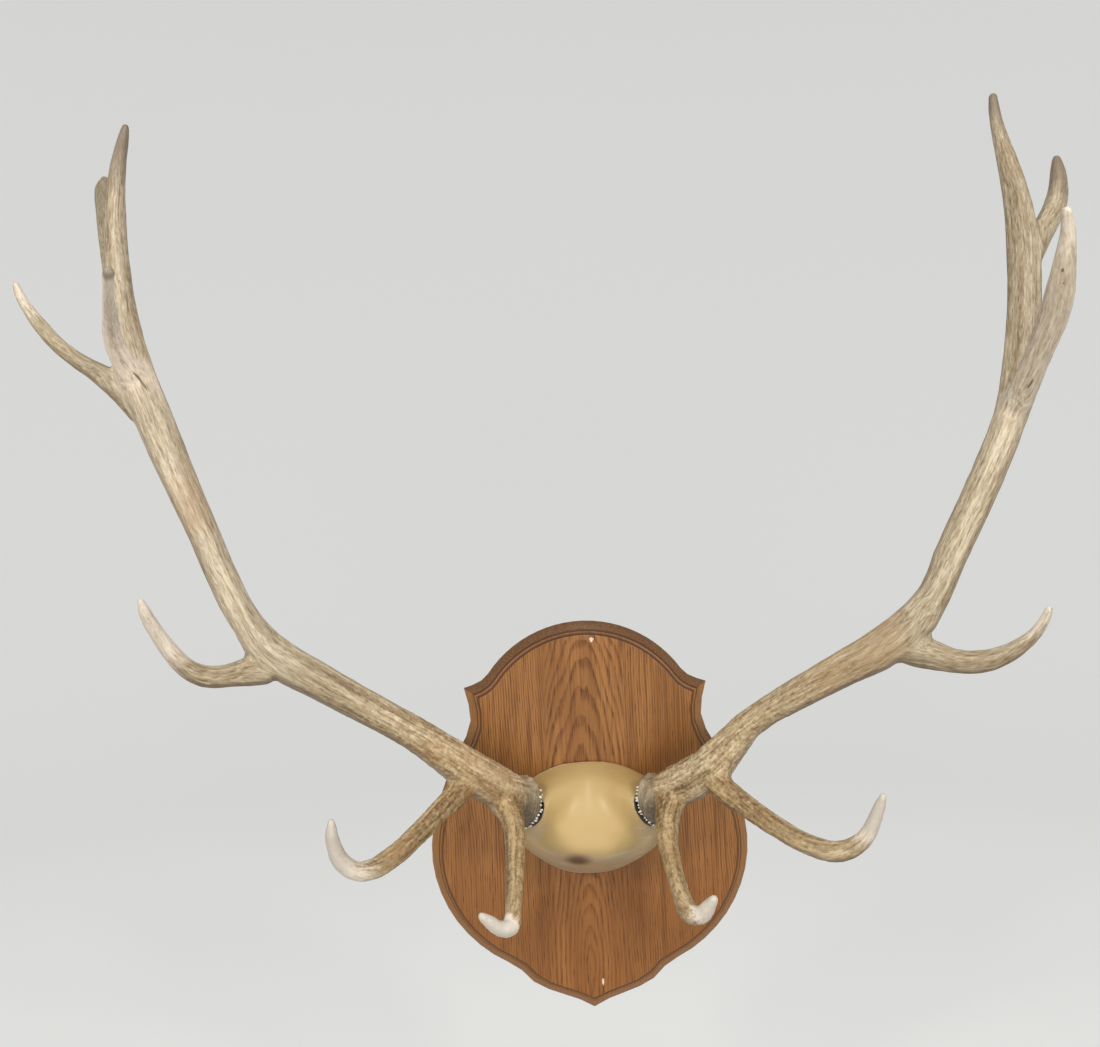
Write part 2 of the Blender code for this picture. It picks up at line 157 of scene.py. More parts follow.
def copy_of_node(node, name):
    """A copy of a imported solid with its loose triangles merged."""
    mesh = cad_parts[node].data.copy()
    mesh.materials.clear()
    obj = bpy.data.objects.new(name, mesh)
    bpy.context.scene.collection.objects.link(obj)
    pick_only(obj)
    bpy.ops.object.mode_set(mode="EDIT")
    bpy.ops.mesh.select_all(action="SELECT")
    bpy.ops.mesh.remove_doubles(threshold=WELD)
    bpy.ops.mesh.normals_make_consistent(inside=False)
    bpy.ops.object.mode_set(mode="OBJECT")
    return obj


def coordinates(obj):
    found = np.empty(len(obj.data.vertices) * 3)
    obj.data.vertices.foreach_get("co", found)
    return found.reshape(-1, 3)


def normals_of(obj):
    found = np.empty(len(obj.data.vertices) * 3)
    obj.data.vertices.foreach_get("normal", found)
    return found.reshape(-1, 3)


def put_coordinates(obj, places):
    obj.data.vertices.foreach_set("co", places.astype(np.float32).ravel())
    obj.data.update()


def put_attribute(obj, name, values):
    kind, key = ("FLOAT_VECTOR", "vector") if values.ndim == 2 else ("FLOAT", "value")
    attribute = obj.data.attributes.new(name, kind, "POINT")
    attribute.data.foreach_set(key, values.astype(np.float32).ravel())


def evened(obj, values, rounds):
    """The same point values with each one moved towards its neighbours' mean, this many times."""
    ends = np.empty(len(obj.data.edges) * 2, np.int64)
    obj.data.edges.foreach_get("vertices", ends)
    ends = ends.reshape(-1, 2)
    ones, others = np.concatenate([ends[:, 0], ends[:, 1]]), np.concatenate([ends[:, 1], ends[:, 0]])
    count = len(values)
    neighbours = np.maximum(np.bincount(ones, minlength=count), 1)[:, None]
    for _ in range(rounds):
        sums = [np.bincount(ones, weights=column[others], minlength=count) for column in values.T]
        values = 0.5 * values + 0.5 * np.stack(sums, axis=1) / neighbours
    return values


def rounded_off(obj, rounds):
    """Smooths away facets and voxel steps, and gives back the girth that smoothing takes."""
    places = coordinates(obj)
    smooth = evened(obj, places, rounds)
    put_coordinates(obj, smooth + evened(obj, places - smooth, rounds))


def smoothstep(low, high, values):
    share = np.clip((values - low) / (high - low), 0, 1)
    return share * share * (3 - 2 * share)


# Materials


class Finish:
    """One material, built up a node at a time."""

    def __init__(self, name, roughness=0.5):
        self.material = bpy.data.materials.new(name)
        self.material.use_nodes = True
        self.tree = self.material.node_tree
        self.shader = self.tree.nodes["Principled BSDF"]
        self.shader.inputs["Roughness"].default_value = roughness

    def join(self, value, socket):
        """Links an output to a socket, or sets the socket to a plain value."""
        if isinstance(value, bpy.types.NodeSocket):
            self.tree.links.new(value, socket)
        elif isinstance(value, tuple) and len(value) == 3 and socket.type == "RGBA":
            socket.default_value = (*value, 1)
        else:
            socket.default_value = value

    def attribute(self, name, output="Fac"):
        node = self.tree.nodes.new("ShaderNodeAttribute")
        node.attribute_name = name
        return node.outputs[output]

    def place(self):
        return self.tree.nodes.new("ShaderNodeTexCoord").outputs["Object"]

    def normal(self):
        return self.tree.nodes.new("ShaderNodeTexCoord").outputs["Normal"]

    def parts(self, vector):
        node = self.tree.nodes.new("ShaderNodeSeparateXYZ")
        self.join(vector, node.inputs[0])
        return node.outputs

    def math(self, operation, a, b=0.0, c=0.0):
        node = self.tree.nodes.new("ShaderNodeMath")
        node.operation = operation
        for value, socket in zip((a, b, c), node.inputs):
            self.join(value, socket)
        return node.outputs[0]

    def times(self, a, b):
        return self.math("MULTIPLY", a, b)

    def off_half(self, value):
        """How far a noise value is above its middle, which is a half."""
        return self.math("SUBTRACT", value, 0.5)

    def scaled(self, vector, scale, shift=(0, 0, 0)):
        node = self.tree.nodes.new("ShaderNodeMapping")
        self.join(vector, node.inputs["Vector"])
        node.inputs["Scale"].default_value = scale
        node.inputs["Location"].default_value = shift
        return node.outputs[0]

    def noise(self, vector, scale, detail=2.0, roughness=0.5, distortion=0.0):
        node = self.tree.nodes.new("ShaderNodeTexNoise")
        self.join(vector, node.inputs["Vector"])
        node.inputs["Scale"].default_value = scale
        node.inputs["Detail"].default_value = detail
        node.inputs["Roughness"].default_value = roughness
        node.inputs["Distortion"].default_value = distortion
        return node.outputs["Fac"]

    def field(self, vector, stretch, shift, scale, detail, roughness):
        """Noise that is stretched and shifted before it is drawn."""
        return self.noise(self.scaled(vector, stretch, shift), scale, detail, roughness)

    def fade(self, value, low, high, start=0.0, end=1.0):
        """Start below low, end above high, and a soft change between them."""
        node = self.tree.nodes.new("ShaderNodeMapRange")
        node.interpolation_type = "SMOOTHSTEP"
        self.join(value, node.inputs["Value"])
        for name, number in zip(("From Min", "From Max", "To Min", "To Max"), (low, high, start, end)):
            node.inputs[name].default_value = number
        return node.outputs["Result"]

    def mix(self, share, a, b, blend="MIX"):
        """Mixes two colours."""
        node = self.tree.nodes.new("ShaderNodeMix")
        node.data_type = "RGBA"
        node.blend_type = blend
        self.join(share, node.inputs[0])
        self.join(a, node.inputs[6])
        self.join(b, node.inputs[7])
        return node.outputs[2]

    def mix_value(self, share, a, b):
        node = self.tree.nodes.new("ShaderNodeMix")
        self.join(share, node.inputs[0])
        self.join(a, node.inputs[2])
        self.join(b, node.inputs[3])
        return node.outputs[0]

    def ramp(self, value, *stops):
        """A run of colours, each stop a place from 0 to 1 and a colour."""
        node = self.tree.nodes.new("ShaderNodeValToRGB")
        self.join(value, node.inputs[0])
        elements = node.color_ramp.elements
        while len(elements) < len(stops):
            elements.new(1.0)
        for element, (position, colour) in zip(elements, stops):
            element.position = position
            element.color = (*colour, 1)
        return node.outputs[0]

    def vector_math(self, operation, a, b=(0, 0, 0), output="Vector"):
        node = self.tree.nodes.new("ShaderNodeVectorMath")
        node.operation = operation
        self.join(a, node.inputs[0])
        self.join(b, node.inputs[1])
        return node.outputs[output]

    def near(self, vector, centre, low, high):
        """1 within low of a point, and 0 past high."""
        distance = self.vector_math("DISTANCE", vector, centre, "Value")
        return self.fade(distance, low, high, 1.0, 0.0)

    def blot(self, vector, centre, halves, lean=0.0, soft=0.45):
        """1 in the middle of an oval spot that may lean about Y, and 0 outside it."""
        moved = self.tree.nodes.new("ShaderNodeVectorRotate")
        moved.rotation_type = "Y_AXIS"
        self.join(vector, moved.inputs["Vector"])
        moved.inputs["Center"].default_value = centre
        moved.inputs["Angle"].default_value = lean
        offset = self.vector_math("SUBTRACT", moved.outputs[0], centre)
        reach = self.vector_math("LENGTH", self.vector_math("DIVIDE", offset, halves), output="Value")
        return self.fade(reach, soft, 1.0, 1.0, 0.0)

    def along(self, vector, centre, aim):
        """How far a place is from a point, measured along a direction."""
        reach = self.vector_math("DOT_PRODUCT", vector, tuple(aim), "Value")
        return self.math("SUBTRACT", reach, Vector(centre).dot(aim))

    def off_axis(self, vector, centre, aim):
        """How far a place is from the line through a point along a direction."""
        offset = self.vector_math("SUBTRACT", vector, tuple(centre))
        crossed = self.vector_math("CROSS_PRODUCT", offset, tuple(aim))
        return self.vector_math("LENGTH", crossed, output="Value")

    def bump(self, height, strength, distance):
        node = self.tree.nodes.new("ShaderNodeBump")
        node.inputs["Strength"].default_value = strength
        node.inputs["Distance"].default_value = distance
        self.join(height, node.inputs["Height"])
        self.join(node.outputs[0], self.shader.inputs["Normal"])

    def colour(self, value):
        self.join(value, self.shader.inputs["Base Color"])

    def roughness(self, value):
        self.join(value, self.shader.inputs["Roughness"])

    def varnish(self, weight, roughness):
        self.shader.inputs["Coat Weight"].default_value = weight
        self.shader.inputs["Coat Roughness"].default_value = roughness


ANTLER_DARK = (0.14, 0.09, 0.045)
ANTLER_BROWN = (0.3, 0.225, 0.13)
ANTLER_TAN = (0.375, 0.302, 0.195)
ANTLER_CREAM = (0.59, 0.495, 0.35)
RUST = (0.38, 0.235, 0.11)
PALE_SHADOW = (0.44, 0.36, 0.28)
PALE_PINK = (0.72, 0.61, 0.48)
PALE_LIGHT = (0.84, 0.75, 0.62)
IVORY = (0.58, 0.52, 0.44)
TIP_BROWN = (0.17, 0.13, 0.09)
MARK_BROWN = (0.06, 0.042, 0.025)
# The foot is warmer than the beams above, and its tines are browner still
FOOT_TINT = (1.13, 1.07, 0.96)
TINE_TINT = (0.76, 0.68, 0.55)
PALE_TINT = (1.18, 1.16, 1.16)
BURR_DARK = (0.07, 0.052, 0.033)
BURR_GREY = (0.18, 0.14, 0.09)
RING_PITCH = 2.3 * MM
RING_WAVER = 9.0
# The dark face fades out from its middle, along the beam, and upwards, where it is paler
BURR_FACE_REACH = (32 * MM, 58 * MM)
BURR_FACE_ALONG = (14 * MM, 38 * MM)
BURR_FACE_UP = (-4 * MM, 28 * MM)
BURR_TOP_SHARE = 0.55
# Plain noise: scale, detail and roughness
BURR_GRAIN = (260, 2, 0.6)
FOOT_FLECKS = (260, 3, 0.6)
FOOT_STREAKS = (560, 3, 0.65)
RUST_PATCHES = (11, 2, 0.5)
PEARL_GRAIN = (420, 3, 0.6)
# Noise along a shaft: stretch, shift, scale, detail and roughness
SHAFT_FLECKS = ((1, 1, 0.17), (0, 0, 0), 540, 2, 0.55)
SHAFT_DASHES = ((1, 1, 0.2), (0.3, 0.1, 0.2), 420, 1, 0.4)
SHAFT_STREAKS = ((1, 1, 0.045), (0, 0, 0), 360, 2, 0.6)
SHAFT_BANDS = ((1, 1, 0.05), (0.7, 0.4, 0.1), 90, 2, 0.5)
# How much of the flecks and streaks turns to mottling at the foot
FLECKS_MOTTLED = 0.75
STREAKS_MOTTLED = 0.3
# How much each pattern counts in how worn the skin looks
FLECK_WEIGHT = 0.34
STREAK_WEIGHT = 0.32
BAND_WEIGHT = 0.34
RELIEF_WEIGHT = 0.09
CONTRAST = 1.2
FOOT_CONTRAST = 0.8
WORN_TONES = ((0.3, ANTLER_DARK), (0.42, ANTLER_BROWN), (0.5, ANTLER_TAN), (0.64, ANTLER_CREAM))
PALE_TONES = ((0.34, PALE_SHADOW), (0.48, PALE_PINK), (0.62, PALE_LIGHT))
PEARL_TONES = ((0.3, (0.32, 0.26, 0.19)), (0.52, (0.72, 0.66, 0.56)), (0.7, (0.9, 0.87, 0.8)))
# Fades: where each starts and ends, then its value before and after
DASH_FADE = (0.6, 0.7, 0.0, 0.5)
RUST_FADE = (0.52, 0.72, 0.0, 0.35)
# Painted shade on faces that point down: by the normal's z, then how much of it stays on ivory and pale skin
UNDERSIDE_SHADE_FADE = (-0.95, -0.3, 0.75, 0.0)
SHADE_KEPT_FADE = (0.0, 0.5, 1.0, 0.15)
SKIN_GLOSS_FADE = (0.3, 0.7, 0.62, 0.46)
PALER_FADE = (0.05, 0.7)
IVORY_FADE = (0.4, 1.0)
IVORY_RAGGED = 0.7
IVORY_ROUGHNESS = 0.36
IVORY_SMOOTHED = 0.85
MARK_SOFT = 0.6
MARK_SHARE = 0.8


def antler_grain(finish, way):
    """Flecks, dashes, streaks and bands that follow a shaft, from its straightened coordinates."""
    return [finish.field(way, *field) for field in (SHAFT_FLECKS, SHAFT_DASHES, SHAFT_STREAKS, SHAFT_BANDS)]


def burr_tone(finish, place, centre, aim):
    """The dark face of a burr, with fine rings round it, and how much of it shows at each place."""
    out = finish.along(place, centre, aim)
    grain = finish.noise(place, *BURR_GRAIN)
    turns = finish.math("MULTIPLY_ADD", out, math.tau / RING_PITCH, finish.times(grain, RING_WAVER))
    ring = finish.fade(finish.math("SINE", turns), -0.9, 1.0)
    tone = finish.mix(finish.times(ring, finish.fade(grain, 0.3, 0.65, 0.2, 1.0)), BURR_DARK, BURR_GREY)
    low, high = (centre.z + edge for edge in BURR_FACE_UP)
    close = finish.near(place, centre, *BURR_FACE_REACH)
    close = finish.times(close, finish.fade(out, *BURR_FACE_ALONG, 1.0, 0.0))
    close = finish.times(close, finish.fade(finish.parts(place)[2], low, high, 1.0, BURR_TOP_SHARE))
    return tone, finish.times(close, finish.fade(grain, 0.25, 0.6, 0.6, 1.0))


def antler_finish():
    finish = Finish("antler", 0.5)
    place = finish.place()
    share = finish.attribute("tine_share")
    on_beam = antler_grain(finish, finish.attribute("beam_way", "Vector"))
    on_tine = antler_grain(finish, finish.attribute("tine_way", "Vector"))
    flecks, dashes, streaks, bands = (finish.mix_value(share, a, b) for a, b in zip(on_beam, on_tine))
    # Near the foot the flecks lose their direction and turn to mottling
    foot = finish.attribute("foot")
    mottles = finish.noise(place, *FOOT_FLECKS)
    flecks = finish.mix_value(finish.times(foot, FLECKS_MOTTLED), flecks, mottles)
    mottles = finish.noise(place, *FOOT_STREAKS)
    streaks = finish.mix_value(finish.times(foot, STREAKS_MOTTLED), streaks, mottles)
    worn = finish.math("MULTIPLY_ADD", flecks, FLECK_WEIGHT, finish.times(streaks, STREAK_WEIGHT))
    worn = finish.math("MULTIPLY_ADD", bands, BAND_WEIGHT, worn)
    worn = finish.math("MULTIPLY_ADD", finish.attribute("relief"), RELIEF_WEIGHT, worn)
    depth = finish.math("MULTIPLY_ADD", foot, FOOT_CONTRAST, CONTRAST)
    worn = finish.math("MULTIPLY_ADD", finish.off_half(worn), depth, 0.5)
    tone = finish.ramp(worn, *WORN_TONES)
    paler = finish.ramp(worn, *PALE_TONES)
    dash_share = finish.fade(dashes, *DASH_FADE)
    tone = finish.mix(dash_share, tone, ANTLER_DARK)
    patches = finish.noise(place, *RUST_PATCHES)
    tone = finish.mix(finish.fade(patches, *RUST_FADE), tone, RUST)
    tone = finish.mix(foot, tone, FOOT_TINT, "MULTIPLY")
    tone = finish.mix(finish.times(foot, share), tone, TINE_TINT, "MULTIPLY")
    pale = finish.attribute("pale")
    tone = finish.mix(pale, tone, paler)
    tone = finish.mix(pale, tone, PALE_TINT, "MULTIPLY")
    tone = finish.mix(finish.attribute("dark_end"), tone, TIP_BROWN)
    # Painted shade, partly grime: faces that point down are darkened towards ANTLER_DARK, less on ivory and
    # pale skin
    ivory = finish.attribute("ivory")
    downwards = finish.fade(finish.parts(finish.normal())[2], *UNDERSIDE_SHADE_FADE)
    shade_kept = finish.fade(finish.math("MAXIMUM", ivory, pale), *SHADE_KEPT_FADE)
    tone = finish.mix(finish.times(downwards, shade_kept), tone, ANTLER_DARK)
    # The ivory's edge is ragged, and a paler skin leads up to it
    soft = finish.math("MULTIPLY_ADD", finish.off_half(worn), IVORY_RAGGED, ivory)
    soft = finish.times(soft, finish.fade(ivory, 0.0, 0.2))
    tone = finish.mix(finish.fade(soft, *PALER_FADE), tone, paler)
    ivory_share = finish.fade(soft, *IVORY_FADE)
    tone = finish.mix(ivory_share, tone, IVORY)
    for side in SIDES:
        face, face_share = burr_tone(finish, place, BURR_CENTRES[side], BURR_AIMS[side])
        tone = finish.mix(face_share, tone, face)
    for centre, halves, lean in SKIN_MARKS:
        mark = finish.blot(place, centre, halves, lean, MARK_SOFT)
        tone = finish.mix(finish.times(mark, MARK_SHARE), tone, MARK_BROWN)
    finish.colour(tone)
    gloss = finish.fade(flecks, *SKIN_GLOSS_FADE)
    finish.roughness(finish.mix_value(ivory_share, gloss, IVORY_ROUGHNESS))
    height = finish.math("SUBTRACT", finish.math("MULTIPLY_ADD", streaks, 0.5, flecks), dash_share)
    rough_share = finish.math("SUBTRACT", 1.0, finish.times(ivory_share, IVORY_SMOOTHED))
    finish.bump(finish.times(height, rough_share), 0.5, 0.8 * MM)
    return finish.material


def pearl_finish():
    finish = Finish("burr_pearl", 0.35)
    grain = finish.noise(finish.place(), *PEARL_GRAIN)
    finish.colour(finish.ramp(grain, *PEARL_TONES))
    finish.bump(grain, 0.4, 0.3 * MM)
    return finish.material


OAK_LIGHT = (0.34, 0.148, 0.04)
OAK_MID = (0.165, 0.06, 0.013)
OAK_DARK = (0.1, 0.033, 0.007)
OAK_ORANGE = (0.3, 0.1, 0.018)
OAK_PORE = (0.06, 0.019, 0.005)
END_DARK = (0.08, 0.034, 0.013)
END_LIGHT = (0.185, 0.09, 0.036)
MOULDING_PAINTED_LIGHT = (0.4, 0.185, 0.05)
# Rings to a metre, where the board is sawn across them and where it is sawn near the heart
STRAIGHT_RINGS = 300
ARCH_RINGS = 185
ARCH_SLOPE = 0.17
ARCH_FOOT = -0.205
# Glued strips across the board: where the joints between them are
STRIP_JOINTS = (-0.146, -0.055, 0.05, 0.135)
# The dark lines in the moulding, as how far out from the back each one starts and ends
DARK_LINES = ((15.9 * MM, 20.2 * MM), (20.55 * MM, 24.2 * MM))
DARK_LINE_SHARE = 0.75
LINE_START_BLUR = 0.15 * MM
LINE_STOP_BLUR = 0.2 * MM
FACE_OUT = 24.6 * MM
FACE_BLUR = 0.4 * MM
MOULDING_LIGHT_SHARE = 0.45
END_SHARE = 0.85
# The middle strip, and how the others' rings lean and are shifted from strip to strip
HEART_STRIP = 2.0
HEART_X = -0.004
RING_LEAN = 0.035
STRIP_SHIFT = 0.37
# What bends the rings: stretch, shift, scale, detail and roughness of the noise, and how far it moves them
RING_WAVES = (
    (((3, 3, 1), (0, 0, 0), 2.4, 3, 0.55), 0.034),
    (((1, 1, 0.5), (0, 0, 0), 14, 2, 0.5), 0.016),
    (((1, 1, 0.2), (0, 0, 0), 60, 3, 0.6), 0.005),
)
# Noise along the grain, in the same order
FIBRE = ((1, 1, 0.035), (0, 0, 0), 620, 4, 0.6)
BROAD_BANDS = ((1, 1, 0.12), (0.2, 0.5, 0.1), 30, 3, 0.5)
PORES = ((1, 1, 0.05), (0.7, 0.2, 0.4), 800, 2, 0.5)
GRAIN_LINES = ((1, 1, 0.025), (0.1, 0.3, 0.9), 230, 3, 0.65)
BARE_GRAIN = ((1, 1, 0.2), (0, 0, 0), 600, 3, 0.6)
END_SPECKLE = (700, 2, 0.6)
# Fades over the board: where each starts and ends, then its value before and after
LINE_FADE = (0.5, 0.66, 0.0, 0.5)
FIBRE_FADE = (0.46, 0.7, 0.0, 0.45)
BROAD_FADE = (0.4, 0.65, 0.0, 0.5)
ORANGE_FADE = (-0.15, 0.0, 0.3, 0.0)
OAK_GLOSS_FADE = (0.3, 0.7, 0.42, 0.56)
OAK_SPECULAR = 0.3
BARE_TONES = ((0.3, (0.62, 0.44, 0.29)), (0.7, (0.9, 0.8, 0.68)))


def oak_rings(finish, place):
    """Where each place is in its yearly ring, from 0 to 1."""
    x, _, z = finish.parts(place)
    strip = finish.math("GREATER_THAN", x, STRIP_JOINTS[0])
    for joint in STRIP_JOINTS[1:]:
        strip = finish.math("ADD", strip, finish.math("GREATER_THAN", x, joint))
    middle = finish.math("COMPARE", strip, HEART_STRIP, 0.5)
    # The middle strip is sawn near the heart of the tree, so its rings show as nested arches
    across = finish.math("SUBTRACT", x, HEART_X)
    taper = finish.times(finish.math("SUBTRACT", z, ARCH_FOOT), ARCH_SLOPE)
    squares = finish.math("ADD", finish.math("POWER", across, 2.0), finish.math("POWER", taper, 2.0))
    arch = finish.math("SQRT", squares)
    straight = finish.math("MULTIPLY_ADD", z, RING_LEAN, finish.math("MULTIPLY_ADD", strip, STRIP_SHIFT, x))
    rings = finish.mix_value(middle, finish.times(straight, STRAIGHT_RINGS / ARCH_RINGS), arch)
    for wave, amount in RING_WAVES:
        rings = finish.math("MULTIPLY_ADD", finish.off_half(finish.field(place, *wave)), amount, rings)
    return finish.math("FRACT", finish.times(rings, ARCH_RINGS))


def oak_finish():
    finish = Finish("oak", 0.5)
    place = finish.place()
    _, y, z = finish.parts(place)
    cycle = oak_rings(finish, place)
    early = finish.times(finish.fade(cycle, 0.35, 0.85), finish.fade(cycle, 0.92, 1.0, 1.0, 0.0))
    fibre, broad, pores, lines = (finish.field(place, *f) for f in (FIBRE, BROAD_BANDS, PORES, GRAIN_LINES))
    broken = finish.fade(lines, 0.38, 0.58, 0.3, 1.0)
    tone = finish.mix(finish.times(early, broken), OAK_LIGHT, OAK_MID)
    tone = finish.mix(finish.fade(lines, *LINE_FADE), tone, OAK_DARK)
    tone = finish.mix(finish.fade(fibre, *FIBRE_FADE), tone, OAK_DARK)
    tone = finish.mix(finish.fade(broad, *BROAD_FADE), tone, OAK_MID)
    tone = finish.mix(finish.fade(z, *ORANGE_FADE), tone, OAK_ORANGE)
    pore_share = finish.times(finish.fade(pores, 0.52, 0.64), finish.fade(early, 0.1, 0.9, 0.08, 0.8))
    tone = finish.mix(pore_share, tone, OAK_PORE)
    # The moulding is darker along its top, where it cuts across the ends of the grain
    moulding = finish.fade(y, -FACE_OUT, -FACE_OUT + FACE_BLUR)
    upwards = finish.fade(finish.parts(finish.normal())[2], 0.1, 0.5)
    speckle = finish.noise(place, *END_SPECKLE)
    ends = finish.mix(finish.fade(speckle, 0.4, 0.65), END_DARK, END_LIGHT)
    # Painted light: faces of the moulding that turn sideways are lightened towards gold
    beside = finish.times(moulding, finish.math("SUBTRACT", 1.0, upwards))
    tone = finish.mix(finish.times(beside, MOULDING_LIGHT_SHARE), tone, MOULDING_PAINTED_LIGHT)
    tone = finish.mix(finish.times(moulding, finish.times(upwards, END_SHARE)), tone, ends)
    for start, stop in DARK_LINES:
        before = finish.fade(y, -start - LINE_START_BLUR, -start + LINE_START_BLUR, 1.0, 0.0)
        after = finish.fade(y, -stop - LINE_STOP_BLUR, -stop + LINE_STOP_BLUR)
        tone = finish.mix(finish.times(finish.times(before, after), DARK_LINE_SHARE), tone, OAK_PORE)
    finish.colour(tone)
    finish.roughness(finish.fade(fibre, *OAK_GLOSS_FADE))
    finish.shader.inputs["Specular IOR Level"].default_value = OAK_SPECULAR
    finish.varnish(0.18, 0.25)
    finish.bump(finish.math("SUBTRACT", fibre, pore_share), 0.3, 0.35 * MM)
    return finish.material


def bare_wood_finish():
    finish = Finish("bare_wood", 0.7)
    grain = finish.field(finish.place(), *BARE_GRAIN)
    finish.colour(finish.ramp(grain, *BARE_TONES))
    finish.bump(grain, 0.4, 0.2 * MM)
    return finish.material


COVER_HIGHLIGHT = (0.52, 0.37, 0.155)
COVER_CREAM = (0.53, 0.37, 0.15)
COVER_TAN = (0.48, 0.325, 0.125)
COVER_SHADE_AND_SCUFF = (0.4, 0.28, 0.1)
COVER_GREY_SHADE = (0.52, 0.38, 0.235)
COVER_WHITE = (0.78, 0.68, 0.52)
COVER_SPOT = (0.11, 0.042, 0.012)
COVER_HALO = (0.4, 0.24, 0.1)
SPOT_CENTRE = (-0.018, -0.1014, -0.038)
SPOT_HALVES = (0.024, 0.036, 0.016)
HALO_HALVES = (0.05, 0.04, 0.032)
EDGE_SHADOW = (0.05, 0.024, 0.01)
GAP_PAINT_AND_SHADE = (0.006, 0.004, 0.003)
GAP_WIDTH = 4.6 * MM
GAP_BLUR = 0.4 * MM
# The gap closes over this stretch above the burr's middle
GAP_TOP = (14 * MM, 20 * MM)
# Places on the cover, as x: the painted highlight down the middle, its half width, and the two valleys beside
# it, where shade is painted
HIGHLIGHT_X = -0.009
HIGHLIGHT_HALF = 0.036
HIGHLIGHT_SHARE = 0.75
SHADED_VALLEYS_X = (-0.060, 0.056)
VALLEY_SHADE_WIDTH = 0.018
VALLEY_SHADE_SHARE = 0.45
BRUSHED = ((1, 0.4, 0.16), (0, 0, 0), 110, 3, 0.6)
ROUND_STREAKS = ((0.16, 0.5, 1), (0, 0, 0), 120, 3, 0.6)
DOWN_FADE = (-0.8, -0.35, 1.0, 0.0)
GREY_SHADE_SHARE = 0.8
HALO_SHARE = 0.55
SPOT_SOFT = 0.2
SPOT_FADE = (0.3, 0.6, 1.0, 0.85)
SCUFF_SHARE = 0.4
# The flange along the edge and the dark line under it, as where each starts and ends along Y
FLANGE_FADE = (-0.0345, -0.0320, 0.0, 0.55)
UNDER_FLANGE = (-0.0272, -0.0266)
COVER_GLOSS_FADE = (0.3, 0.7, 0.4, 0.5)
# Scuffs near the middle: the place, and the half lengths
SCUFFS = (
    ((-0.0214, -0.1032, 0.015), (1.6 * MM, 12 * MM, 0.8 * MM)),
    ((-0.0268, -0.1040, 0.010), (0.8 * MM, 12 * MM, 1.8 * MM)),
    ((-0.0175, -0.1035, 0.019), (2.2 * MM, 12 * MM, 0.6 * MM)),
)


def cover_finish():
    finish = Finish("cap_cover", 0.34)
    place = finish.place()
    x, y, z = finish.parts(place)
    clouds = finish.noise(finish.scaled(place, (1, 1, 0.45)), 22, 3, 0.55, 0.4)
    brushed = finish.field(place, *BRUSHED)
    tone = finish.mix(finish.fade(clouds, 0.35, 0.68), COVER_CREAM, COVER_TAN)
    # Painted highlight: a bright band down the middle of the cover
    off_highlight = finish.math("ABSOLUTE", finish.math("SUBTRACT", x, HIGHLIGHT_X))
    bright = finish.fade(off_highlight, 0.6 * HIGHLIGHT_HALF, 1.15 * HIGHLIGHT_HALF, HIGHLIGHT_SHARE, 0.0)
    tone = finish.mix(bright, tone, COVER_HIGHLIGHT)
    # Painted shade in the valleys beside the burrs, streaked along the brushing; the same olive also marks
    # the scuffs below
    for valley in SHADED_VALLEYS_X:
        away = finish.math("ABSOLUTE", finish.math("SUBTRACT", x, valley))
        streaked = finish.fade(brushed, 0.3, 0.7, 0.45, 1.0)
        depth = finish.times(finish.fade(away, 0.0, VALLEY_SHADE_WIDTH, 1.0, 0.0), streaked)
        tone = finish.mix(finish.times(depth, VALLEY_SHADE_SHARE), tone, COVER_SHADE_AND_SCUFF)
    # The lower side faces down: greyer, as painted shade, with long pale streaks that run round it
    down = finish.fade(finish.parts(finish.normal())[2], *DOWN_FADE)
    round_it = finish.field(place, *ROUND_STREAKS)
    tone = finish.mix(finish.times(down, GREY_SHADE_SHARE), tone, COVER_GREY_SHADE)
    pale_streaks = finish.times(finish.fade(round_it, 0.52, 0.7), finish.fade(x, 0.02, 0.075, 0.25, 0.8))
    tone = finish.mix(finish.times(down, pale_streaks), tone, COVER_WHITE)
    halo = finish.blot(place, SPOT_CENTRE, HALO_HALVES, soft=0.0)
    tone = finish.mix(finish.times(halo, HALO_SHARE), tone, COVER_HALO)
    spot = finish.blot(place, SPOT_CENTRE, SPOT_HALVES, soft=SPOT_SOFT)
    tone = finish.mix(finish.times(spot, finish.fade(clouds, *SPOT_FADE)), tone, COVER_SPOT)
    for centre, halves in SCUFFS:
        tone = finish.mix(finish.times(finish.blot(place, centre, halves), SCUFF_SHARE), tone, COVER_SHADE_AND_SCUFF)
    # A thin flange lies on the board, paler than the rest, with a dark line under it
    tone = finish.mix(finish.fade(y, *FLANGE_FADE), tone, COVER_WHITE)
    tone = finish.mix(finish.fade(y, *UNDER_FLANGE), tone, EDGE_SHADOW)
    # The ring round each burr's lower side: black paint in the gap, with painted shade of the gap in it too
    for side in SIDES:
        centre, aim = BURR_CENTRES[side], BURR_AIMS[side]
        edge = BURR_RADIUS + GAP_WIDTH
        ring = finish.fade(finish.off_axis(place, centre, aim), edge - GAP_BLUR, edge + GAP_BLUR, 1.0, 0.0)
        lower = finish.fade(z, centre.z + GAP_TOP[0], centre.z + GAP_TOP[1], 1.0, 0.0)
        close = finish.fade(finish.along(place, centre, aim), -GAP_WIDTH - MM, -GAP_WIDTH)
        ring = finish.times(ring, finish.times(lower, close))
        tone = finish.mix(ring, tone, GAP_PAINT_AND_SHADE)
    finish.colour(tone)
    finish.roughness(finish.fade(brushed, *COVER_GLOSS_FADE))
    finish.varnish(0.2, 0.35)
    finish.bump(clouds, 0.12, 0.6 * MM)
    return finish.material


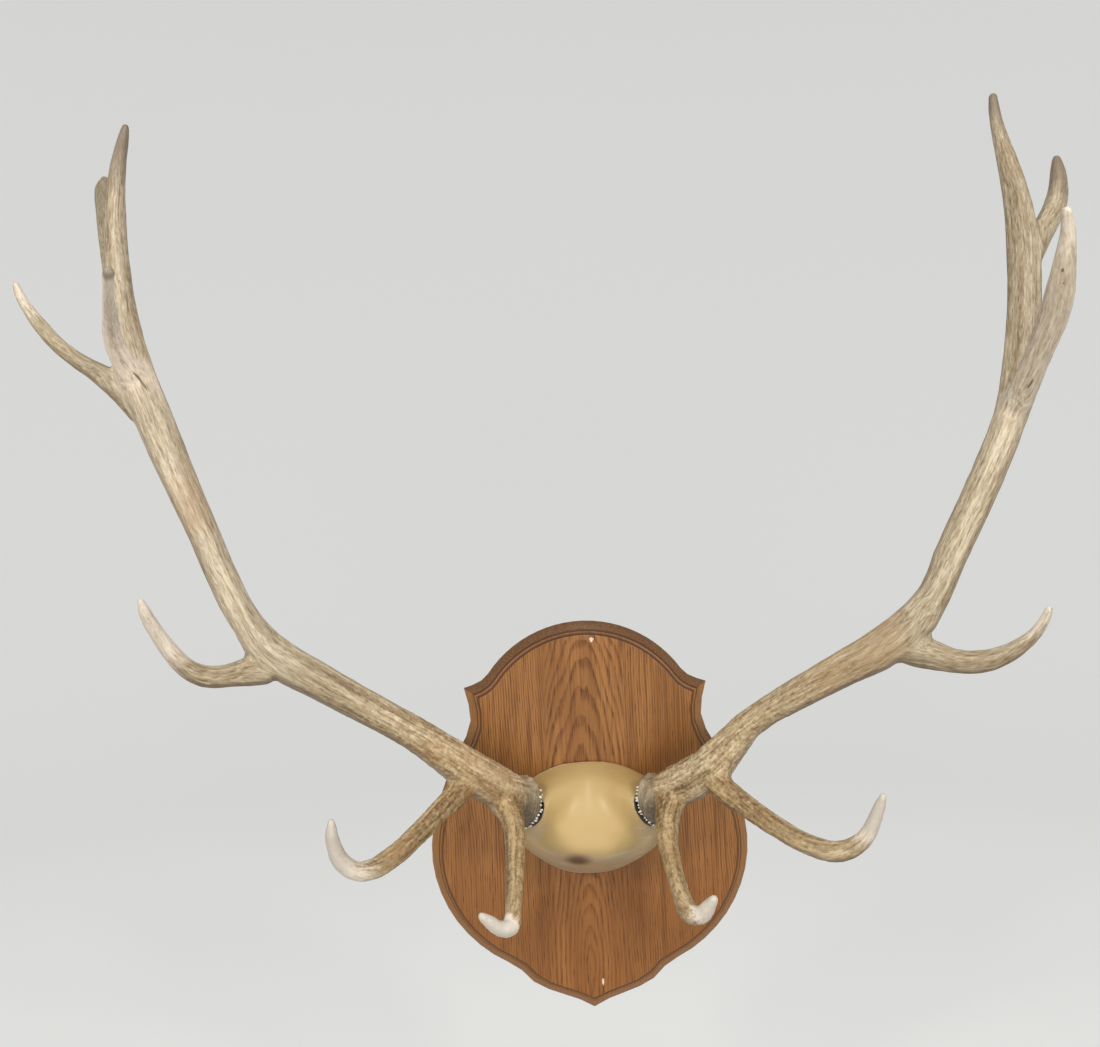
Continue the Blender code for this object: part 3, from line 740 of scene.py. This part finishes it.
# Shaft lines: the middle of each beam and tine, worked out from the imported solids


class Shaft:
    """The middle line of a beam or tine, tip first, with a frame carried along it without twisting."""

    BIN = 12 * MM
    TIP_RADIUS = 1.5 * MM
    # A slice with fewer points than this says too little about the shaft's middle
    FEWEST_POINTS = 6
    # The root is found against about this many points of the beam
    BEAM_SAMPLES = 400

    def __init__(self, name, far_from):
        self.points, self.radii = self.middle_line(name, far_from)
        steps = np.diff(self.points, axis=0)
        self.lengths = np.concatenate([[0], np.cumsum(np.linalg.norm(steps, axis=1))])
        self.frames = self.carried_frames(steps)

    def middle_line(self, name, far_from):
        bm = bmesh.new()
        bm.from_mesh(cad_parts[name].data)
        bmesh.ops.remove_doubles(bm, verts=bm.verts, dist=WELD)
        bmesh.ops.subdivide_edges(bm, edges=bm.edges, cuts=3, use_grid_fill=True)
        bm.verts.ensure_lookup_table()
        bm.verts.index_update()
        places = np.array([vert.co for vert in bm.verts])
        sampled = far_from[:: max(1, len(far_from) // self.BEAM_SAMPLES)]
        gaps = np.linalg.norm(places[:, None] - sampled[None], axis=2)
        root = int(gaps.min(axis=1).argmin())
        # A hooked tine's tip is the furthest point along its skin, but its bend may lie further from the beam
        tip = int(self.way_over_skin(bm, root).argmax())
        travelled = self.way_over_skin(bm, tip)
        bm.free()
        bins = (travelled / self.BIN).astype(int)
        line, radii = [places[tip]], [self.TIP_RADIUS]
        for number in range(1, bins.max() - 1):
            ring = places[bins == number]
            if len(ring) < self.FEWEST_POINTS:
                continue
            middle = ring.mean(axis=0)
            line.append(middle)
            radii.append(np.linalg.norm(ring - middle, axis=1).mean())
        line, radii = np.array(line), np.array(radii)
        for _ in range(2):
            line[1:-1] = (line[:-2] + 2 * line[1:-1] + line[2:]) / 4
            radii[1:-1] = (radii[:-2] + 2 * radii[1:-1] + radii[2:]) / 4
        beyond = line[-1] + (line[-1] - line[-3])
        return np.vstack([line, beyond]), np.append(radii, radii[-1])

    @staticmethod
    def way_over_skin(bm, start):
        """How far each vertex is from the start, along the edges."""
        travelled = np.full(len(bm.verts), np.inf)
        travelled[start] = 0
        queue = [(0.0, start)]
        while queue:
            so_far, index = heapq.heappop(queue)
            if so_far > travelled[index]:
                continue
            for edge in bm.verts[index].link_edges:
                other = edge.other_vert(bm.verts[index]).index
                further = so_far + edge.calc_length()
                if further < travelled[other]:
                    travelled[other] = further
                    heapq.heappush(queue, (further, other))
        return travelled

    @staticmethod
    def carried_frames(steps):
        side = None
        frames = []
        for step in steps:
            along = Vector(step).normalized()
            side = (along.orthogonal() if side is None else side - along * side.dot(along)).normalized()
            frames.append((side, along.cross(side)))
        return np.array(frames)

    @staticmethod
    def from_line(places, start, end):
        """For each place: its share of the way between two points, and its offset from their line."""
        step = end - start
        share = np.clip((places - start) @ step / (step @ step), 0, 1)
        return share, places - (start + share[:, None] * step)

    def read(self, places):
        """For each place: its straightened coordinates, its way from the tip, and how far outside it is."""
        best = np.full(len(places), np.inf)
        way = np.zeros((len(places), 3))
        radius = np.zeros(len(places))
        for index in range(len(self.points) - 1):
            start, end = self.points[index], self.points[index + 1]
            share, away = self.from_line(places, start, end)
            distance = np.linalg.norm(away, axis=1)
            nearer = distance < best
            best[nearer] = distance[nearer]
            side, other = self.frames[index]
            way[nearer, 0] = away[nearer] @ side
            way[nearer, 1] = away[nearer] @ other
            way[nearer, 2] = (self.lengths[index] + share * np.linalg.norm(end - start))[nearer]
            radius[nearer] = ((1 - share) * self.radii[index] + share * self.radii[index + 1])[nearer]
        return way, way[:, 2], best - radius


# Antlers


def joined_copies(side):
    """One mesh of the side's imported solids, remeshed so that the gaps between them close."""
    names = [side + "_main_beam"] + [f"{side}_{tine}_tine" for tine in TINES[side]]
    copies = [copy_of_node(name, name + "_copy") for name in names]
    pick_only(*copies)
    bpy.ops.object.join()
    antler = newest(side + "_antler")
    apply_modifier(antler, "REMESH", mode="VOXEL", voxel_size=VOXEL)
    return antler, names


def smooth_facets(antler, tips):
    """Smooths the whole antler, but only a little at the tips, which would shrink."""
    places = coordinates(antler)
    to_tip = np.linalg.norm(places[:, None] - tips[None], axis=2).min(axis=1)
    rounded_off(antler, TIP_ROUNDS)
    gently = coordinates(antler)
    put_coordinates(antler, places)
    rounded_off(antler, FACET_ROUNDS)
    share = smoothstep(*TIP_REACH, to_tip)[:, None]
    put_coordinates(antler, (1 - share) * gently + share * coordinates(antler))


def fill_forks(antler, near_fork):
    """Rounds the crotches by smoothing a copy hard and keeping only where that fills."""
    places, normals = coordinates(antler), normals_of(antler)
    group = antler.vertex_groups.new(name="fork")
    for index in np.flatnonzero(near_fork > 0.01):
        group.add([int(index)], float(near_fork[index]), "REPLACE")
    apply_modifier(antler, "SMOOTH", factor=0.5, iterations=FORK_ROUNDS, vertex_group="fork")
    moved = coordinates(antler) - places
    outwards = (moved * normals).sum(axis=1)
    kept = smoothstep(*FILL_KEPT, outwards)
    put_coordinates(antler, places + moved * kept[:, None])
    apply_modifier(antler, "SMOOTH", factor=0.5, iterations=SETTLE_ROUNDS, vertex_group="fork")
    antler.vertex_groups.clear()


RELIEF = 1.0 * MM
GROOVE_WIDTH = 0.12
# The ridges gain their height over about this much of the way from a tip
SMOOTH_END = 160 * MM
# A beam's skin turns into a tine's over this much on each side of the line between them
TINE_BLEND = 7 * MM
# Forks this near the beam's tip are filled less, or not at all
CROWN_CLEAR = 60 * MM
# The foot's look is full within this of the burr's middle, and gone at FOOT_FADE
FOOT_NEAR = 120 * MM
# Each tine's grain starts in another stretch of the noise
WAY_SHIFT = 0.37
# Where a paler shaft's skin ends beside it, and how it stops on the way round to the back
PALE_EDGE = (16 * MM, -4 * MM)
PALE_FRONT = (0.3, -0.5)


def ridges(way, tip_gap, foot):
    """How far the surface stands out here: long low ridges, finer grooves, and grains near the foot."""
    x, y, z = way
    broad = noise.noise((x * 90, y * 90, z * 6))
    channel = abs(noise.noise((x * 130 + 3, y * 130, z * 9)))
    groove = -max(0.0, 1 - channel / GROOVE_WIDTH)
    fine = noise.noise((x * 300, y * 300 + 7, z * 60))
    grain = noise.noise((x * 230, y * 230, z * 190 + 5))
    smooth_end = min(1.0, 0.1 + tip_gap / SMOOTH_END)
    shaft = (0.35 * broad + 0.35 * groove + 0.4 * fine) * smooth_end
    return shaft * (1 - 0.5 * foot) + (0.6 * grain + 0.3 * fine) * foot


def read_shafts(beam, tines, places):
    """The beam's reading of each place, its nearest tine's, which tine that is, and all the tines' gaps."""
    ways, tips, outs = (np.array(kind) for kind in zip(*(tine.read(places) for tine in tines)))
    nearest = outs.argmin(axis=0)
    rows = np.arange(len(places))
    return beam.read(places), (ways[nearest, rows], tips[nearest, rows], outs[nearest, rows]), nearest, outs


def dress_antler(side, antler, names):
    """Gives the skin its ridges and the attributes that its finish reads."""
    beam_name, tine_names = names[0], names[1:]
    beam = Shaft(beam_name, np.zeros((1, 3)))
    beam_places = np.array([vert.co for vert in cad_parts[beam_name].data.vertices])
    tines = [Shaft(name, beam_places) for name in tine_names]
    smooth_facets(antler, np.array([shaft.points[0] for shaft in (beam, *tines)]))
    (_, beam_tip, beam_out), (_, _, tine_out), _, _ = read_shafts(beam, tines, coordinates(antler))
    near_fork = smoothstep(FORK_REACH, 0.3 * FORK_REACH, np.maximum(np.abs(beam_out), np.abs(tine_out)))
    fill_forks(antler, near_fork * smoothstep(0, CROWN_CLEAR, beam_tip))
    places = coordinates(antler)
    beam_reading, tine_reading, nearest, outs = read_shafts(beam, tines, places)
    beam_way, beam_tip, beam_out = beam_reading
    tine_way, tine_tip, tine_out = tine_reading
    tine_share = smoothstep(-TINE_BLEND, TINE_BLEND, beam_out - tine_out)
    from_burr = np.linalg.norm(places - np.array(BURR_CENTRES[side]), axis=1)
    foot = smoothstep(FOOT_FADE, FOOT_NEAR, from_burr)
    tine_way = tine_way + nearest[:, None] * WAY_SHIFT
    relief = np.empty(len(places))
    for index in range(len(places)):
        share = tine_share[index]
        value = 0.0
        if share < 0.99:
            value += (1 - share) * ridges(beam_way[index], beam_tip[index], foot[index])
        if share > 0.01:
            value += share * ridges(tine_way[index], tine_tip[index], foot[index])
        relief[index] = value
    near_ends = (names, nearest, tine_share, beam_tip, tine_tip)
    stand_out = relief * RELIEF + by_shaft(BLUNT_ENDS, *near_ends)
    put_coordinates(antler, places + normals_of(antler) * stand_out[:, None])
    put_attribute(antler, "beam_way", beam_way)
    put_attribute(antler, "tine_way", tine_way)
    put_attribute(antler, "tine_share", tine_share)
    put_attribute(antler, "relief", relief)
    put_attribute(antler, "foot", foot)
    put_attribute(antler, "ivory", by_shaft(IVORY_ENDS, *near_ends))
    put_attribute(antler, "dark_end", by_shaft(DARK_ENDS, *near_ends))
    pale = PALE_BEAMS[side] * (1 - tine_share) * (1 - foot)
    for name, tine, out in zip(tine_names, tines, outs):
        if name not in PALE_SHAFTS:
            continue
        on_tine, on_beam, sag = PALE_SHAFTS[name]
        root = tine.points[-1]
        _, offset = Shaft.from_line(places, root, root + np.array(sag))
        beside = np.minimum(out, np.linalg.norm(offset, axis=1) - tine.radii[-1])
        front = smoothstep(*PALE_FRONT, normals_of(antler)[:, 1])
        own = np.where(nearest == tine_names.index(name), tine_share, 0.0)
        pale += smoothstep(*PALE_EDGE, beside) * np.maximum(on_tine * own, on_beam * front)
    put_attribute(antler, "pale", np.clip(pale, 0, 1))


def end_strength(end, tip_gap):
    if end is None:
        return np.zeros(len(tip_gap))
    strength, holds, gone = end
    return strength * smoothstep(gone, holds, tip_gap)


def by_shaft(ends, names, nearest, tine_share, beam_tip, tine_tip):
    """What each place gets from the ends given for its shaft, mixed where a tine leaves the beam."""
    values = end_strength(ends.get(names[0]), beam_tip) * (1 - tine_share)
    for number, name in enumerate(names[1:]):
        values += end_strength(ends.get(name), tine_tip) * tine_share * (nearest == number)
    return values


PEARLS = 46
PEARL_SEEDS = {"left": 11, "right": 23}
PEARL_SIZE = 1.4 * MM
# The burr's top has none: this far above its middle they stop
PEARLS_TOP = 20 * MM


def add_pearls(side, pearl):
    """White beads round the burr's rim, half sunk in it, each a little different."""
    draw = random.Random(PEARL_SEEDS[side])
    turned = BURR_AIMS[side].to_track_quat("Z", "Y").to_matrix().to_4x4()
    turned.translation = BURR_CENTRES[side]
    beads = []
    for number in range(PEARLS):
        angle = math.tau * (number + draw.uniform(-0.3, 0.3)) / PEARLS
        reach = BURR_RADIUS + draw.uniform(-0.3, 0.9) * MM
        height = draw.uniform(1.2, 4.2) * MM
        size = PEARL_SIZE * draw.uniform(0.6, 1.2)
        shape = Matrix.Diagonal((size * 0.9, size * draw.uniform(0.8, 1.3), size * draw.uniform(1.1, 1.9), 1))
        lean = Matrix.Rotation(draw.uniform(-0.5, 0.5), 4, "X")
        spot = turned @ Matrix.Rotation(angle, 4, "Z") @ Matrix.Translation((reach, 0, height))
        if spot.translation.z > BURR_CENTRES[side].z + PEARLS_TOP:
            continue
        bpy.ops.mesh.primitive_uv_sphere_add(segments=10, ring_count=6, radius=1.0)
        bead = newest(f"{side}_pearl")
        bead.data.transform(spot @ lean @ shape)
        bead.data.materials.append(pearl)
        beads.append(bead)
    return beads


def make_antler(side, skin, pearl):
    antler, names = joined_copies(side)
    dress_antler(side, antler, names)
    antler.data.materials.append(skin)
    beads = add_pearls(side, pearl)
    pick_only(antler, *beads)
    bpy.ops.object.join()
    pick_only(antler)
    bpy.ops.object.shade_smooth()
    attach(antler, "root")
    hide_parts(*names)


# Shield


# The two chips: the middle, the half lengths along x, y and z, and how much each narrows downwards
CHIPS = {
    "top_mark": ((0.0101, -0.025, 0.2326), (4.6 * MM, 1.1 * MM, 3.6 * MM), 0.8),
    "bottom_mark": ((0.0116, -0.025, -0.2219), (1.7 * MM, 0.8 * MM, 4.4 * MM), 0.2),
}
CHIP_RAGGED = 0.35
EDGE_BEVEL = 0.5 * MM
BEVEL_ABOVE = math.radians(24)


def chip_cutter(name, place, size, point):
    """A small ragged dent, to be cut from the board's face. It narrows downwards by the share in point."""
    bpy.ops.mesh.primitive_ico_sphere_add(subdivisions=3, radius=1.0)
    cutter = newest(name)
    for vert in cutter.data.vertices:
        ragged = 1 + CHIP_RAGGED * noise.noise(vert.co * 1.7 + Vector(place) * 40)
        narrow = 1 - point * (1 - vert.co.z) / 2
        sized = Vector((vert.co.x * size[0] * narrow, vert.co.y * size[1], vert.co.z * size[2]))
        vert.co = sized * ragged + Vector(place)
    return cutter


def make_shield(oak, bare):
    shield = copy_of_node("oak_shield", "shield_board")
    bevel = {"width": EDGE_BEVEL, "segments": 2, "limit_method": "ANGLE", "angle_limit": BEVEL_ABOVE}
    apply_modifier(shield, "BEVEL", **bevel)
    chips = [chip_cutter(name, *shape) for name, shape in CHIPS.items()]
    for obj in (shield, *chips):
        obj.data.materials.append(oak)
        obj.data.materials.append(bare)
    for chip in chips:
        chip.data.polygons.foreach_set("material_index", [1] * len(chip.data.polygons))
        apply_modifier(shield, "BOOLEAN", operation="DIFFERENCE", object=chip)
        bpy.data.objects.remove(chip, do_unlink=True)
    pick_only(shield)
    bpy.ops.object.shade_smooth_by_angle(angle=math.radians(32))
    for face in shield.data.polygons:
        if abs(face.normal.y) > 0.999:
            face.use_smooth = False
    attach(shield, "root")
    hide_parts("oak_shield")


# Skull-cap cover


def make_cover(finish):
    cover = copy_of_node("skull_cap_cover", "cap_cover")
    pick_only(cover)
    bpy.ops.object.mode_set(mode="EDIT")
    bpy.ops.mesh.select_all(action="SELECT")
    bpy.ops.mesh.tris_convert_to_quads(face_threshold=math.pi, shape_threshold=math.pi)
    bpy.ops.object.mode_set(mode="OBJECT")
    apply_modifier(cover, "SUBSURF", levels=2, render_levels=2)
    cover.data.materials.append(finish)
    pick_only(cover)
    bpy.ops.object.shade_smooth_by_angle(angle=math.radians(50))
    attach(cover, "root")
    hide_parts("skull_cap_cover")


# Studio


def make_camera():
    data = bpy.data.cameras.new("photo_camera")
    data.lens = LENS
    data.sensor_width = SENSOR
    camera = bpy.data.objects.new("photo_camera", data)
    bpy.context.scene.collection.objects.link(camera)
    level, roll = (1 - CAMERA_ROLL * CAMERA_ROLL) ** 0.5, CAMERA_ROLL
    camera.matrix_world = Matrix(
        (
            (level, roll, 0, CAMERA_X),
            (0, 0, -1, -CAMERA_DISTANCE),
            (-roll, level, 0, CAMERA_HEIGHT),
            (0, 0, 0, 1),
        )
    )
    bpy.context.scene.camera = camera


def make_backdrop():
    """A wide pale bowl: a round floor that curves up into a wall far outside every view's camera."""
    profile = [(0, 0), (BOWL_FLOOR_RADIUS, 0)]
    for step in range(1, BEND_STEPS + 1):
        angle = math.pi / 2 * step / BEND_STEPS
        profile.append((BOWL_FLOOR_RADIUS + BOWL_BEND * math.sin(angle), BOWL_BEND * (1 - math.cos(angle))))
    profile.append((BOWL_FLOOR_RADIUS + BOWL_BEND, BOWL_TOP))
    corners = [(x, 0, z + FLOOR_HEIGHT) for x, z in profile]
    mesh = bpy.data.meshes.new("backdrop")
    mesh.from_pydata(corners, [(i, i + 1) for i in range(len(corners) - 1)], [])
    backdrop = bpy.data.objects.new("backdrop", mesh)
    bpy.context.scene.collection.objects.link(backdrop)
    turn = {"steps": BOWL_STEPS, "render_steps": BOWL_STEPS}
    apply_modifier(backdrop, "SCREW", **turn, use_merge_vertices=True, merge_threshold=0.1 * MM)
    pick_only(backdrop)
    bpy.ops.object.shade_smooth()
    finish = Finish("backdrop", 0.9)
    finish.colour(BACKDROP_GREY)
    finish.shader.inputs["Emission Color"].default_value = (*BACKDROP_LIGHT, 1)
    finish.shader.inputs["Emission Strength"].default_value = BACKDROP_GLOW
    backdrop.data.materials.append(finish.material)
    # It is bright to the eye, but leaves the light on the object to the lamps
    backdrop.visible_diffuse = False


def add_soft_light(name, place, target, size, power, colour):
    bpy.ops.object.light_add(type="AREA", location=place)
    light = newest(name)
    light.data.shape = "DISK"
    light.data.size = size
    light.data.energy = power
    light.data.color = colour
    light.rotation_euler = (Vector(target) - Vector(place)).to_track_quat("-Z", "Y").to_euler()
    light.visible_camera = False
    return light


def make_lights():
    world = bpy.data.worlds.new("studio")
    bpy.context.scene.world = world
    world.use_nodes = True
    sky = world.node_tree.nodes["Background"].inputs
    sky["Color"].default_value = (*WORLD_COLOUR, 1)
    sky["Strength"].default_value = WORLD_STRENGTH
    add_soft_light("left_light", (-1.7, -2.4, 1.5), (0, -0.15, 0.25), 0.5, 30, SIDE_WARMTH)
    add_soft_light("right_light", (1.7, -2.4, 1.5), (0, -0.15, 0.25), 0.5, 28, SIDE_WARMTH)
    add_soft_light("top_light", (0.1, -1.5, 2.8), (0, -0.1, 0.2), 1.2, 28, (1, 0.98, 0.95))
    low = add_soft_light("low_light", (0, -2.4, -0.15), (0, -0.15, 0.45), 1.2, 20, (1, 0.96, 0.9))
    # It only fills the undersides, and would otherwise show as a veil on the varnish
    low.visible_glossy = False
    bpy.context.scene.view_settings.view_transform = "Standard"


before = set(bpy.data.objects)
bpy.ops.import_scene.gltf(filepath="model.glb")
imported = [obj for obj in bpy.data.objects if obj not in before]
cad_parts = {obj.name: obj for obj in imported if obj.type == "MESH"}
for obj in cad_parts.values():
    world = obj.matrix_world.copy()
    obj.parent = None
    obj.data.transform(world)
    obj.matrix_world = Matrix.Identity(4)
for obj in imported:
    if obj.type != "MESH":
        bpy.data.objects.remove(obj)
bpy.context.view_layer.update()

make_camera()
make_backdrop()
make_lights()
antler_skin = antler_finish()
pearl = pearl_finish()
for side in SIDES:
    make_antler(side, antler_skin, pearl)
make_shield(oak_finish(), bare_wood_finish())
make_cover(cover_finish())
